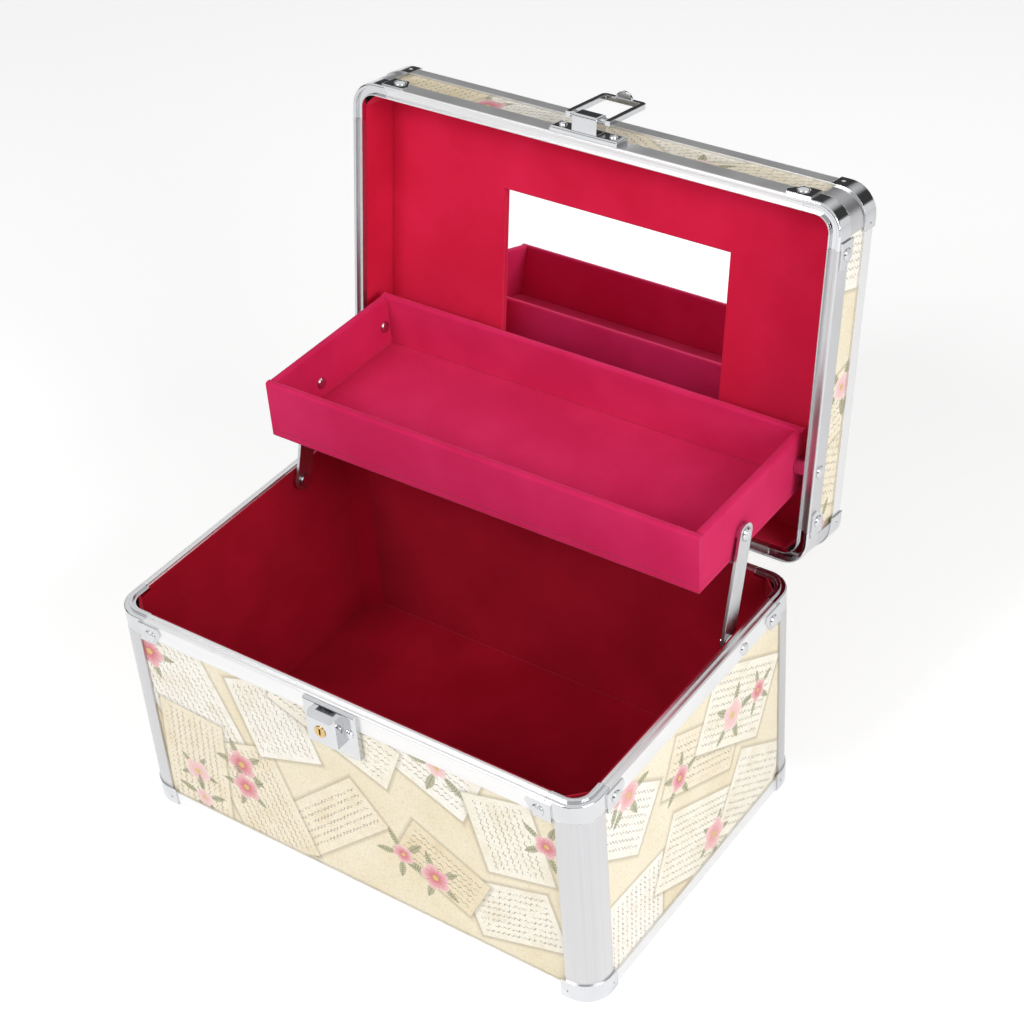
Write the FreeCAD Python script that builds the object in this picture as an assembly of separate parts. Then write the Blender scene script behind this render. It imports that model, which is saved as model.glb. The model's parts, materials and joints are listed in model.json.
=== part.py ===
import FreeCAD
import Part
import math
import os

# A small framed makeup case: covered boards held by aluminium posts, rails and trims,
# with a mirror in the lid and a tray that rises on two arms as the lid opens.
# Millimetres, +X to the right, +Y to the back, +Z up, origin under the middle of the base.
# The lid, tray, arms, hasp loop and handle are made shut and then turned to the open pose.

Vector = FreeCAD.Vector

# Driving dimensions of the case
CASE_WIDTH = 240.0
CASE_DEPTH = 162.0
BASE_HEIGHT = 109.5
LID_HEIGHT = 30.0
SEAM_GAP = 0.3
LID_OPEN_DEG = 99.0

# Walls, from the outside to the inside
METAL_T = 1.2
BOARD_T = 3.2
LINING_T = 0.8
PANEL_T = 4.0

# Corner posts, edge trims and caps
POST_RADIUS = 12.0
POST_LEG = 14.0
TRIM_LEG = 8.0
TRIM_EDGE_R = 2.0
CAP_PROUD = 0.6
CAP_LEG = 16.0
CAP_SKIRT = 10.0
CAP_EDGE_R = 1.0
NAIL_R = 0.9
NAIL_DEPTH = 0.3
NAIL_FROM_LEG_END = 1.0

# Rim rails and their corner caps
FLANGE_H = 9.0
RAIL_END = 18.0
RAIL_EDGE_R = 0.8
BASE_WEB_T = 1.6
LID_WEB_T = 3.0
TONGUE_W = 1.4
TONGUE_H = 1.0
GROOVE_W = 3.0
GROOVE_DEPTH = 1.4
EAR_END = 27.0
EAR_TOP = 1.6
EAR_DROP = 11.0
EAR_TIP_DROP = 4.5
EAR_TIP_SLOPE = 1.0
EAR_PAST_RIVET = 2.0
EAR_FROM_POST = 1.0

# Rivets
RIVET_HEAD_R = 2.9
RIVET_HEAD_H = 1.2
RIVET_SHANK_R = 1.5
SMALL_SHANK_R = 0.75
CROWN_SHARE = 0.25
HEAD_TAPER = 0.7
RIVET_FROM_CORNER = 21.0
RIVET_FROM_RIM = 7.0

# Hinges on the back
HINGE_FROM_CORNER = 58.0
HINGE_W = 34.0
HINGE_BACK = 3.0
HINGE_BELOW_RIM = 2.0
KNUCKLE_R = 2.4
KNUCKLE_GAP = 0.3
HINGE_PIN_R = 1.0
LEAF_T = 1.0
LEAF_H = 7.0
LEAF_RIVET_X = 10.0
LEAF_RIVET_R = 1.9
LEAF_RIVET_H = 0.9
LEAF_BELOW_FLANGE = 0.5
BASE_LEAF_EDGE = 0.3
LID_LEAF_EDGE = 0.8

# Running fits
PIN_CLEARANCE = 0.05
SIDE_CLEARANCE = 0.1

# Tray and its parallelogram: lid pivot and arm length come from the open pose
TRAY_SIDE_GAP = 5.3
TRAY_DEPTH = 86.0
TRAY_HEIGHT = 27.7
TRAY_WALL_T = 3.5
TRAY_FLOOR_T = 3.0
TRAY_EDGE_R = 1.2
TRAY_PIVOT_BACK = 14.5
TRAY_PIVOT_UP = 46.5
TRAY_BEHIND_PIVOT = 7.3
TRAY_BELOW_PIVOT = 13.4
ARM_FROM_HINGE = 47.0
ARM_BELOW_RIM = 5.5
ARM_W = 9.6
ARM_T = 1.4
ARM_PIN_R = 1.6
ARM_HEAD_R = 3.2
ARM_HEAD_H = 0.9
WASHER_R = 4.0
ARM_WASHER_T = 1.6
ARM_PIVOT_TO_TRAY = 0.6

# Mirror in the lid
MIRROR_BOARD_T = 4.0
MIRROR_T = 2.0
MIRROR_LAP = 4.0
MIRROR_FIT = 0.2
WINDOW_W = 114.0
WINDOW_H = 84.0
WINDOW_X = 4.0
WINDOW_Y = 2.0

# Lock on the base
LOCK_X = -1.0
LOCK_PLATE_W = 27.0
LOCK_PLATE_H = 23.0
LOCK_PLATE_T = 2.0
LOCK_PLATE_EDGE_R = 0.9
LOCK_PLATE_BELOW_RIM = 0.8
LOCK_CASE_W = 14.0
LOCK_CASE_H = 15.0
LOCK_CASE_T = 6.0
LOCK_CASE_BELOW_RIM = 1.6
LOCK_CASE_BEVEL = 1.5
LOCK_SLOT_W = 9.0
LOCK_SLOT_T = 2.4
LOCK_SLOT_DEPTH = 5.0
LOCK_PLUG_R = 2.7
LOCK_PLUG_PROUD = 0.4
LOCK_PLUG_DEPTH = 3.4
LOCK_PLUG_BELOW_SLOT = 2.2
KEY_SLOT_W = 0.9
KEY_SLOT_H = 3.4
KEY_SLOT_DEPTH = 2.5
LOCK_RIVET_X = 9.8
LOCK_RIVET_UP = 2.0
LOCK_RIVET_R = 2.2

# Hasp on the lid
HASP_PLATE_W = 33.0
HASP_PLATE_H = 8.4
HASP_PLATE_T = 2.4
HASP_PLATE_EDGE_R = 0.8
HASP_BLOCK_W = 12.0
HASP_BLOCK_H = 7.2
HASP_BLOCK_T = 7.4
HASP_BLOCK_EDGE_R = 1.0
HASP_PIVOT_OUT = 8.0
HASP_PIVOT_UP = 4.6
HASP_RIVET_X = 12.4
HASP_RIVET_R = 1.9
LOOP_PIN_R = 1.1
LOOP_BAR_W = 2.4
LOOP_BAR_T = 2.2
LOOP_INNER_W = 16.8
LOOP_REACH = 28.0
LOOP_BEND_R = 2.4
LOOP_STUB_IN = 2.5
TAB_R = 4.2
TAB_T = 1.4

# Handle on the lid
HANDLE_SPAN = 92.0
HANDLE_PIVOT_UP = 7.0
HANDLE_REACH = 30.0
HANDLE_GRIP_W = 12.0
HANDLE_GRIP_T = 9.0
HANDLE_ARM_W = 8.0
HANDLE_ARM_T = 7.0
HANDLE_PIN_R = 2.0
HANDLE_EDGE_R = 2.5
HANDLE_SIDE_GAP = 0.3
BRACKET_W = 15.0
BRACKET_L = 22.0
BRACKET_T = 1.5
BRACKET_EAR_T = 3.0
BRACKET_EAR_R = 4.0
BRACKET_RIVET_Y = 7.5

HALF_W = CASE_WIDTH / 2
HALF_D = CASE_DEPTH / 2
HINGE_X = HALF_W - HINGE_FROM_CORNER
WALL_T = METAL_T + BOARD_T
INNER = WALL_T + LINING_T
TRAY_HALF = HALF_W - INNER - TRAY_SIDE_GAP
RIM_BASE = BASE_HEIGHT
RIM_LID = BASE_HEIGHT + SEAM_GAP
HINGE_Y = HALF_D + HINGE_BACK
HINGE_Z = RIM_BASE - HINGE_BELOW_RIM
CORNER_SUM = POST_RADIUS + WALL_T

# Cutting tools run past a face by OVERCUT, and edges within TOUCH of a plane lie on it
OVERCUT = 1.0
TOUCH = 0.01

SIDES = {"front": 0, "right": 90, "rear": 180, "left": 270}


def outline_face(start, steps, plane):
    """A flat face from lines and arcs. A step is an end point, or an arc's mid and end point."""
    edges = []
    here = plane(*start)
    for step in steps:
        if isinstance(step[0], tuple):
            end = plane(*step[1])
            edges.append(Part.Arc(here, plane(*step[0]), end).toShape())
        else:
            end = plane(*step)
            edges.append(Part.makeLine(here, end))
        here = end
    return Part.Face(Part.Wire(edges))


def plan(x, y):
    return Vector(x, y, 0)


def section(u, z):
    return Vector(0, u, z)


def block(x_span, y_span, z_span):
    size = [high - low for low, high in (x_span, y_span, z_span)]
    return Part.makeBox(*size, Vector(x_span[0], y_span[0], z_span[0]))


def fuse(shapes):
    return shapes[0].fuse(shapes[1:]).removeSplitter()


def rod(start, direction, radius, length):
    return Part.makeCylinder(radius, length, start, direction)


def turned(profile, start, direction):
    """A solid of revolution: profile steps are (distance along, radius) from the axis and back."""
    points = [Vector(radius, 0, along) for along, radius in profile]
    points = [Vector(0, 0, profile[0][0])] + points + [Vector(0, 0, profile[-1][0])]
    face = Part.Face(Part.makePolygon(points + [points[0]]))
    solid = face.revolve(Vector(0, 0, 0), Vector(0, 0, 1), 360)
    turn = FreeCAD.Rotation(Vector(0, 0, 1), direction)
    solid.Placement = FreeCAD.Placement(start, turn)
    return solid


def dome(radius, height):
    """Steps of a low round rivet head, from its seat at 0 up to its crown."""
    slopes = (0.0, 0.5, 0.8)
    return [(height * rise, radius * math.sqrt(1 - rise * rise)) for rise in slopes]


def rivet(seat, outward, head_r, head_h, shank_r, shank_length):
    """A domed rivet whose head sits on seat and whose shank runs inward."""
    steps = [(-shank_length, shank_r), (0, shank_r)] + dome(head_r, head_h) + [(head_h, head_r * CROWN_SHARE)]
    return turned(steps, seat, outward)


def on_side(shape, side):
    """Moves a piece made on the front, with y as the depth from the outer face, to a side."""
    moved = shape.copy()
    depth = HALF_D if side in ("front", "rear") else HALF_W
    moved.translate(Vector(0, -depth, 0))
    moved.rotate(Vector(0, 0, 0), Vector(0, 0, 1), SIDES[side])
    return moved


def half_length(side):
    return HALF_W if side in ("front", "rear") else HALF_D


def at_corners(shape):
    """Four mirrored copies of a corner piece made with x and y as depths from its two faces."""
    left = shape.copy()
    left.translate(Vector(-HALF_W, -HALF_D, 0))
    front = [left, left.mirror(Vector(0, 0, 0), Vector(1, 0, 0))]
    return front + [piece.mirror(Vector(0, 0, 0), Vector(0, 1, 0)) for piece in front]


def swap_faces(shape):
    """The same corner feature on the other of the corner's two faces."""
    return shape.mirror(Vector(0, 0, 0), Vector(1, -1, 0))


def arc_mid(radius):
    """Depth, from both faces, of the middle of a corner arc about the post's centre."""
    return POST_RADIUS - radius / math.sqrt(2)


def base_rail_face(inside):
    tongue_in = (INNER + METAL_T - TONGUE_W) / 2
    corner = RAIL_EDGE_R * (1 - 1 / math.sqrt(2))
    steps = [
        (METAL_T, FLANGE_H), (METAL_T, BASE_WEB_T), (inside, BASE_WEB_T), (inside, 0),
        (tongue_in + TONGUE_W, 0), (tongue_in + TONGUE_W, -TONGUE_H), (tongue_in, -TONGUE_H),
        (tongue_in, 0), (RAIL_EDGE_R, 0), ((corner, corner), (0, RAIL_EDGE_R)), (0, FLANGE_H),
    ]
    return outline_face((0, FLANGE_H), steps, section)


def lid_rail_face(inside):
    groove_in = (INNER + METAL_T - GROOVE_W) / 2
    corner = RAIL_EDGE_R * (1 - 1 / math.sqrt(2))
    steps = [
        (METAL_T, FLANGE_H), (METAL_T, LID_WEB_T), (inside, LID_WEB_T), (inside, 0),
        (groove_in + GROOVE_W, 0), (groove_in + GROOVE_W, GROOVE_DEPTH), (groove_in, GROOVE_DEPTH),
        (groove_in, 0), (RAIL_EDGE_R, 0), ((corner, corner), (0, RAIL_EDGE_R)), (0, FLANGE_H),
    ]
    return outline_face((0, FLANGE_H), steps, section)


def rail(face, side):
    half = half_length(side) - RAIL_END
    bar = face.copy()
    bar.translate(Vector(-half, 0, 0))
    return on_side(bar.extrude(Vector(2 * half, 0, 0)), side)


def ear():
    """The tab of a rim corner that carries its rivet, lapped over the rail."""
    steps = [
        (EAR_END - EAR_TIP_SLOPE, EAR_TOP), (EAR_END, EAR_TIP_DROP),
        (RIVET_FROM_CORNER + EAR_PAST_RIVET, EAR_DROP),
        (POST_LEG + EAR_FROM_POST, EAR_DROP), (POST_LEG + EAR_FROM_POST, EAR_TOP),
    ]
    plate = outline_face((POST_LEG + EAR_FROM_POST, EAR_TOP), steps, lambda x, z: Vector(x, -CAP_PROUD, z))
    return plate.extrude(Vector(0, CAP_PROUD, 0))


def rim_corner(face):
    """A cast corner that carries the rail's section round the post, with an ear on each face."""
    start = face.copy()
    start.translate(Vector(POST_RADIUS, 0, 0))
    leg = start.extrude(Vector(RAIL_END - POST_RADIUS, 0, 0))
    bend = start.revolve(Vector(POST_RADIUS, POST_RADIUS, 0), Vector(0, 0, 1), -90)
    return fuse([bend, leg, swap_faces(leg), ear(), swap_faces(ear())])


def post(top, end):
    """A rounded extrusion: two outer legs over the boards and a diagonal back between their ends."""
    middle = arc_mid(POST_RADIUS)
    steps = [
        (0, POST_RADIUS), ((middle, middle), (POST_RADIUS, 0)), (POST_LEG, 0),
        (POST_LEG, METAL_T), (POST_RADIUS, METAL_T), (POST_RADIUS, WALL_T),
        (WALL_T, POST_RADIUS), (METAL_T, POST_RADIUS), (METAL_T, POST_LEG), (0, POST_LEG),
    ]
    bar = outline_face((0, POST_LEG), steps, plan)
    bar.translate(Vector(0, 0, top))
    return bar.extrude(Vector(0, 0, end - top))


def wall_board(side, web, height):
    half = half_length(side) - POST_RADIUS
    board = block((-half, half), (METAL_T, WALL_T), (web, height - PANEL_T))
    return on_side(board, side)


def panel_board(height):
    """The bottom or top board, flush outside with the trims that lap into its edges."""
    half_x = HALF_W - METAL_T
    half_y = HALF_D - METAL_T
    board = block((-half_x, half_x), (-half_y, half_y), (height - PANEL_T, height))
    lap = block((-HALF_W, HALF_W), (-HALF_D, HALF_D), (height - METAL_T, height))
    face_x = HALF_W - TRIM_LEG
    face_y = HALF_D - TRIM_LEG
    lap = lap.cut(block((-face_x, face_x), (-face_y, face_y), (height - METAL_T, height)))
    steps = [(CORNER_SUM, 0), (0, CORNER_SUM), (0, 0)]
    corner = outline_face((0, 0), steps, plan)
    corner.translate(Vector(0, 0, height - PANEL_T))
    return board.cut([lap] + at_corners(corner.extrude(Vector(0, 0, PANEL_T))))


def edge_trim(side, height):
    """An angle along a closed edge, rounded outside."""
    half = half_length(side) - POST_LEG
    mid = TRIM_EDGE_R * (1 - 1 / math.sqrt(2))
    steps = [
        (METAL_T, height - TRIM_LEG), (METAL_T, height - METAL_T), (TRIM_LEG, height - METAL_T),
        (TRIM_LEG, height), (TRIM_EDGE_R, height),
        ((mid, height - mid), (0, height - TRIM_EDGE_R)), (0, height - TRIM_LEG),
    ]
    face = outline_face((0, height - TRIM_LEG), steps, section)
    face.translate(Vector(-half, 0, 0))
    return on_side(face.extrude(Vector(2 * half, 0, 0)), side)


def corner_plan(proud, leg):
    """A rounded corner region that stands proud of the post by a little."""
    reach = POST_RADIUS + proud
    low = arc_mid(reach)
    steps = [((low, low), (POST_RADIUS, -proud)), (leg, -proud), (leg, leg), (-proud, leg),
             (-proud, POST_RADIUS)]
    return outline_face((-proud, POST_RADIUS), steps, plan)


def edge_corner(height):
    """A pressed cap over a closed corner, held by a nail in each face."""
    outer = corner_plan(CAP_PROUD, CAP_LEG)
    outer.translate(Vector(0, 0, height - CAP_SKIRT))
    shell = outer.extrude(Vector(0, 0, CAP_SKIRT))
    rounded = [edge for edge in shell.Edges if edge_on_cap(edge, height)]
    shell = shell.makeFillet(CAP_EDGE_R, rounded)
    inner = corner_plan(0, CAP_LEG)
    inner.translate(Vector(0, 0, height - CAP_SKIRT))
    hollow = inner.extrude(Vector(0, 0, CAP_SKIRT - METAL_T))
    past = CAP_LEG + OVERCUT
    trims = block((POST_LEG, past), (0, past), (height - METAL_T, height + OVERCUT))
    middle = block((TRIM_LEG, past), (TRIM_LEG, past), (height - METAL_T, height + OVERCUT))
    cap = shell.cut([hollow, trims, swap_faces(trims), middle])
    nail = turned([(0, NAIL_R), (NAIL_DEPTH, NAIL_R / 2)],
                  Vector(POST_LEG - NAIL_FROM_LEG_END, -CAP_PROUD, height - CAP_SKIRT / 2), Vector(0, 1, 0))
    return cap.cut([nail, swap_faces(nail)])


def edge_on_cap(edge, height):
    """True for the edges of a cap's closed end that run along its outer faces."""
    box = edge.BoundBox
    flat = box.ZMin > height - TOUCH
    outside = box.XMax < POST_RADIUS + TOUCH or box.YMax < POST_RADIUS + TOUCH
    return flat and outside and (box.XMin < 0 or box.YMin < 0) and box.XMin + box.YMin < POST_RADIUS


def octagon(depth, slack):
    """The inside outline of the walls at a depth, with its corners cut off by the posts."""
    x = HALF_W - depth
    y = HALF_D - depth
    cut = CORNER_SUM + slack - 2 * depth
    points = [(x - cut, -y), (x, cut - y), (x, y - cut), (x - cut, y),
              (cut - x, y), (-x, y - cut), (-x, cut - y), (cut - x, -y)]
    return outline_face(points[0], points[1:] + [points[0]], plan)


def lining_ring(low, high):
    """One strip of flocked lining round all four walls and across the corner posts."""
    outer = octagon(WALL_T, 0)
    inner = octagon(INNER, LINING_T * math.sqrt(2))
    outer.translate(Vector(0, 0, low))
    inner.translate(Vector(0, 0, low))
    return outer.extrude(Vector(0, 0, high - low)).cut(inner.extrude(Vector(0, 0, high - low)))


def corner_rivet_tool(shank_r, length):
    return rod(Vector(RIVET_FROM_CORNER, -CAP_PROUD, RIVET_FROM_RIM), Vector(0, 1, 0), shank_r, length)


def corner_rivet():
    seat = Vector(RIVET_FROM_CORNER, -CAP_PROUD, RIVET_FROM_RIM)
    return rivet(seat, Vector(0, -1, 0), RIVET_HEAD_R, RIVET_HEAD_H, RIVET_SHANK_R, WALL_T + CAP_PROUD)


def half_shell(height, web, rail_face, rail_inside, lining_from):
    """All pieces of one half, with its rim at z = 0 and its closed panel at z = height.

    The rails reach in to rail_inside, and the lining runs from lining_from, under the rim corners.
    """
    hole = corner_rivet_tool(RIVET_SHANK_R, WALL_T + CAP_PROUD)
    holes = at_corners(hole) + at_corners(swap_faces(hole))
    pieces = {"panel_board": [panel_board(height)]}
    for side in SIDES:
        pieces[side + "_board"] = [wall_board(side, web, height).cut(holes)]
        pieces[side + "_rail"] = [rail(rail_face(rail_inside), side).cut(holes)]
    pieces["corner_posts"] = at_corners(post(FLANGE_H, height - METAL_T))
    pieces["rim_corners"] = [corner.cut(holes) for corner in at_corners(rim_corner(rail_face(INNER)))]
    pieces["edge_trims"] = [edge_trim(side, height) for side in SIDES]
    pieces["edge_corners"] = at_corners(edge_corner(height))
    pieces["wall_lining"] = [lining_ring(lining_from, height - PANEL_T).cut(pieces["rim_corners"])]
    pieces["corner_rivets"] = at_corners(corner_rivet()) + at_corners(swap_faces(corner_rivet()))
    return pieces


def drill(pieces, names, tool):
    for name in names:
        pieces[name] = [solid.cut(tool) for solid in pieces[name]]


def to_base(shape):
    down = shape.mirror(Vector(0, 0, 0), Vector(0, 0, 1))
    down.translate(Vector(0, 0, RIM_BASE))
    return down


def to_lid(shape):
    up = shape.copy()
    up.translate(Vector(0, 0, RIM_LID))
    return up


def named(pieces, prefix, move):
    return {prefix + name: [move(solid) for solid in solids] for name, solids in pieces.items()}


# The base lining shows its edge along the rim; the lid lining ends under the grooved rails.
base_half = half_shell(BASE_HEIGHT, BASE_WEB_T, base_rail_face, WALL_T, 0)
lid_half = half_shell(LID_HEIGHT, LID_WEB_T, lid_rail_face, INNER, LID_WEB_T)
base = named(base_half, "base_", to_base)
lid = named(lid_half, "lid_", to_lid)
base["base_bottom_board"] = base.pop("base_panel_board")
base["base_bottom_trims"] = base.pop("base_edge_trims")
base["base_bottom_corners"] = base.pop("base_edge_corners")
lid["lid_top_board"] = lid.pop("lid_panel_board")
lid["lid_top_trims"] = lid.pop("lid_edge_trims")
lid["lid_top_corners"] = lid.pop("lid_edge_corners")

# Floor lining: a flocked sheet on the bottom board, inside the wall lining.
floor_sheet = octagon(INNER, LINING_T * math.sqrt(2))
floor_sheet.translate(Vector(0, 0, PANEL_T))
base["base_floor_lining"] = [floor_sheet.extrude(Vector(0, 0, LINING_T))]

# Mirror: held behind the window of a flocked board that fills the lid under its top board.
mirror_low = RIM_LID + LID_HEIGHT - PANEL_T - MIRROR_BOARD_T
mirror_seat = mirror_low + MIRROR_BOARD_T - MIRROR_T
window_x = (WINDOW_X - WINDOW_W / 2, WINDOW_X + WINDOW_W / 2)
window_y = (WINDOW_Y - WINDOW_H / 2, WINDOW_Y + WINDOW_H / 2)
pocket_x = (window_x[0] - MIRROR_LAP, window_x[1] + MIRROR_LAP)
pocket_y = (window_y[0] - MIRROR_LAP, window_y[1] + MIRROR_LAP)
mirror_sheet = octagon(INNER, LINING_T * math.sqrt(2))
mirror_sheet.translate(Vector(0, 0, mirror_low))
mirror_board = mirror_sheet.extrude(Vector(0, 0, MIRROR_BOARD_T))
mirror_board = mirror_board.cut(block(window_x, window_y, (mirror_low, mirror_seat)))
mirror_board = mirror_board.cut(block(pocket_x, pocket_y, (mirror_seat, mirror_seat + MIRROR_T)))
lid["mirror_board"] = [mirror_board]
glass_x = (pocket_x[0] + MIRROR_FIT, pocket_x[1] - MIRROR_FIT)
glass_y = (pocket_y[0] + MIRROR_FIT, pocket_y[1] - MIRROR_FIT)
lid["mirror"] = [block(glass_x, glass_y, (mirror_seat, mirror_seat + MIRROR_T))]

# Hinges: a leaf on each rail, three knuckles on one pin, the middle knuckle on the lid.
third = HINGE_W / 3
hinge_axis = Vector(1, 0, 0)


def knuckle(x, x_low, x_high):
    start = Vector(x + x_low, HINGE_Y, HINGE_Z)
    return rod(start, hinge_axis, KNUCKLE_R, x_high - x_low)


def leaf_plate(x, x_low, x_high, z_low, z_high):
    return block((x + x_low, x + x_high), (HALF_D, HALF_D + LEAF_T), (z_low, z_high))


def leaf_web(x, x_low, x_high, z_low, z_high):
    return block((x + x_low, x + x_high), (HALF_D, HINGE_Y), (z_low, z_high))


def base_leaf(x):
    top = HINGE_Z - KNUCKLE_R - KNUCKLE_GAP
    low = RIM_BASE - HINGE_BELOW_RIM - LEAF_H
    solids = [leaf_plate(x, -HINGE_W / 2, HINGE_W / 2, low, top)]
    for x_low in (-HINGE_W / 2, third / 2 + KNUCKLE_GAP / 2):
        x_high = x_low + third - KNUCKLE_GAP / 2
        solids.append(leaf_plate(x, x_low, x_high, low, HINGE_Z))
        solids.append(leaf_web(x, x_low, x_high, HINGE_Z - KNUCKLE_R, HINGE_Z - HINGE_PIN_R))
        solids.append(knuckle(x, x_low, x_high))
    pin_hole = rod(Vector(x - HINGE_W, HINGE_Y, HINGE_Z), hinge_axis, HINGE_PIN_R, 2 * HINGE_W)
    return fuse(solids).cut(pin_hole)


def lid_leaf(x):
    half = third / 2 - KNUCKLE_GAP / 2
    low = HINGE_Z + KNUCKLE_R + KNUCKLE_GAP
    high = RIM_LID + FLANGE_H - LEAF_BELOW_FLANGE
    tongue = leaf_plate(x, -half, half, HINGE_Z, high)
    solids = [leaf_plate(x, -HINGE_W / 2, HINGE_W / 2, low, high), tongue]
    solids.append(leaf_web(x, -half, half, HINGE_Z + HINGE_PIN_R, HINGE_Z + KNUCKLE_R))
    solids.append(knuckle(x, -half, half))
    pin_hole = rod(Vector(x - HINGE_W, HINGE_Y, HINGE_Z), hinge_axis,
                   HINGE_PIN_R + PIN_CLEARANCE, 2 * HINGE_W)
    leaf = fuse(solids).cut(pin_hole)
    clear = block((x - half - OVERCUT, x + half + OVERCUT), (HALF_D, HALF_D + SIDE_CLEARANCE),
                  (HINGE_Z - KNUCKLE_R, RIM_LID))
    return leaf.cut(clear)


def back_rivet(x, z):
    seat = Vector(x, HALF_D + LEAF_T, z)
    return rivet(seat, Vector(0, 1, 0), LEAF_RIVET_R, LEAF_RIVET_H, SMALL_SHANK_R, WALL_T + LEAF_T)


def back_hole(x, z):
    seat = Vector(x, HALF_D + LEAF_T, z)
    return rod(seat, Vector(0, -1, 0), SMALL_SHANK_R, WALL_T + LEAF_T)


base_leaf_z = RIM_BASE - HINGE_BELOW_RIM - LEAF_H + LEAF_RIVET_R + BASE_LEAF_EDGE
lid_leaf_z = RIM_LID + FLANGE_H - LEAF_BELOW_FLANGE - LEAF_RIVET_R - LID_LEAF_EDGE
leaf_x = [x + shift for x in (-HINGE_X, HINGE_X) for shift in (-LEAF_RIVET_X, LEAF_RIVET_X)]
base["base_hinge_leaves"] = [base_leaf(-HINGE_X), base_leaf(HINGE_X)]
lid["lid_hinge_leaves"] = [lid_leaf(-HINGE_X), lid_leaf(HINGE_X)]
base["hinge_pins"] = [rod(Vector(x - HINGE_W / 2, HINGE_Y, HINGE_Z), hinge_axis, HINGE_PIN_R, HINGE_W)
                      for x in (-HINGE_X, HINGE_X)]
base["base_hinge_rivets"] = [back_rivet(x, base_leaf_z) for x in leaf_x]
lid["lid_hinge_rivets"] = [back_rivet(x, lid_leaf_z) for x in leaf_x]
base_leaf_holes = [back_hole(x, base_leaf_z) for x in leaf_x]
lid_leaf_holes = [back_hole(x, lid_leaf_z) for x in leaf_x]
drill(base, ["base_hinge_leaves", "base_rear_rail", "base_rear_board"], base_leaf_holes)
drill(lid, ["lid_hinge_leaves", "lid_rear_rail", "lid_rear_board"], lid_leaf_holes)

# Lock: a plate on the front rail, a pressed case with a slot on top, and a turning key plug.
lock_top = RIM_BASE - LOCK_PLATE_BELOW_RIM
lock_x = (LOCK_X - LOCK_PLATE_W / 2, LOCK_X + LOCK_PLATE_W / 2)
plate_span = (lock_top - LOCK_PLATE_H, lock_top)
lock_plate = block(lock_x, (-HALF_D - LOCK_PLATE_T, -HALF_D), plate_span)
plate_edges = [edge for edge in lock_plate.Edges if edge.BoundBox.YMax < -HALF_D - LOCK_PLATE_T + TOUCH]
lock_plate = lock_plate.makeFillet(LOCK_PLATE_EDGE_R, plate_edges)
lock_pad = block(lock_x, (-HALF_D, METAL_T - HALF_D), (plate_span[0], RIM_BASE - FLANGE_H))
case_top = RIM_BASE - LOCK_CASE_BELOW_RIM
case_back = -HALF_D - LOCK_PLATE_T
case_front = case_back - LOCK_CASE_T
case_x = (LOCK_X - LOCK_CASE_W / 2, LOCK_X + LOCK_CASE_W / 2)
lock_case = block(case_x, (case_front, case_back), (case_top - LOCK_CASE_H, case_top))
front_edges = [edge for edge in lock_case.Edges if edge.BoundBox.YMax < case_front + TOUCH]
lock_case = lock_case.makeChamfer(LOCK_CASE_BEVEL, front_edges)
slot = block((LOCK_X - LOCK_SLOT_W / 2, LOCK_X + LOCK_SLOT_W / 2), (case_back - LOCK_SLOT_T, case_back),
             (case_top - LOCK_SLOT_DEPTH, case_top))
plug_z = case_top - LOCK_SLOT_DEPTH - LOCK_PLUG_BELOW_SLOT
plug_seat = Vector(LOCK_X, case_front + LOCK_PLUG_DEPTH, plug_z)
plug_hole = rod(plug_seat, Vector(0, -1, 0), LOCK_PLUG_R + PIN_CLEARANCE, LOCK_PLUG_DEPTH)
lock_case = lock_case.cut([slot, plug_hole])
plug_face = case_front - LOCK_PLUG_PROUD
lock_plug = rod(Vector(LOCK_X, plug_face, plug_z), Vector(0, 1, 0), LOCK_PLUG_R,
                LOCK_PLUG_DEPTH + LOCK_PLUG_PROUD - SIDE_CLEARANCE)
key_slot = block((LOCK_X - KEY_SLOT_W / 2, LOCK_X + KEY_SLOT_W / 2), (plug_face, plug_face + KEY_SLOT_DEPTH),
                 (plug_z - KEY_SLOT_H / 2, plug_z + KEY_SLOT_H / 2))
lock_rivet_z = lock_top - LOCK_PLATE_H / 2 + LOCK_RIVET_UP
base["lock_plate"] = [fuse([lock_plate, lock_pad])]
base["lock_case"] = [lock_case]
base["lock_rivets"] = []
for x in (LOCK_X - LOCK_RIVET_X, LOCK_X + LOCK_RIVET_X):
    seat = Vector(x, -HALF_D - LOCK_PLATE_T, lock_rivet_z)
    base["lock_rivets"].append(rivet(seat, Vector(0, -1, 0), LOCK_RIVET_R, RIVET_HEAD_H,
                                     SMALL_SHANK_R, WALL_T + LOCK_PLATE_T))
    drill(base, ["lock_plate", "base_front_rail", "base_front_board"],
          rod(seat, Vector(0, 1, 0), SMALL_SHANK_R, WALL_T + LOCK_PLATE_T))

# Hasp: a plate on the lid's front rail with a block that holds the ends of the wire loop.
hasp_low = RIM_LID + (FLANGE_H - HASP_PLATE_H) / 2
hasp_half = HASP_PLATE_W / 2
hasp_face = -HALF_D - HASP_PLATE_T
hasp_plate = block((-hasp_half, hasp_half), (hasp_face, -HALF_D), (hasp_low, hasp_low + HASP_PLATE_H))
hasp_edges = [edge for edge in hasp_plate.Edges if edge.BoundBox.YMax < hasp_face + TOUCH]
lid["hasp_plate"] = [hasp_plate.makeFillet(HASP_PLATE_EDGE_R, hasp_edges)]
pivot_y = -HALF_D - HASP_PIVOT_OUT
pivot_z = RIM_LID + HASP_PIVOT_UP
block_half = HASP_BLOCK_W / 2
hasp_block = block((-block_half, block_half), (hasp_face - HASP_BLOCK_T, hasp_face),
                   (pivot_z - HASP_BLOCK_H / 2, pivot_z + HASP_BLOCK_H / 2))
block_edges = [edge for edge in hasp_block.Edges if edge.BoundBox.YMax < hasp_face - HASP_BLOCK_T + TOUCH]
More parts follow.
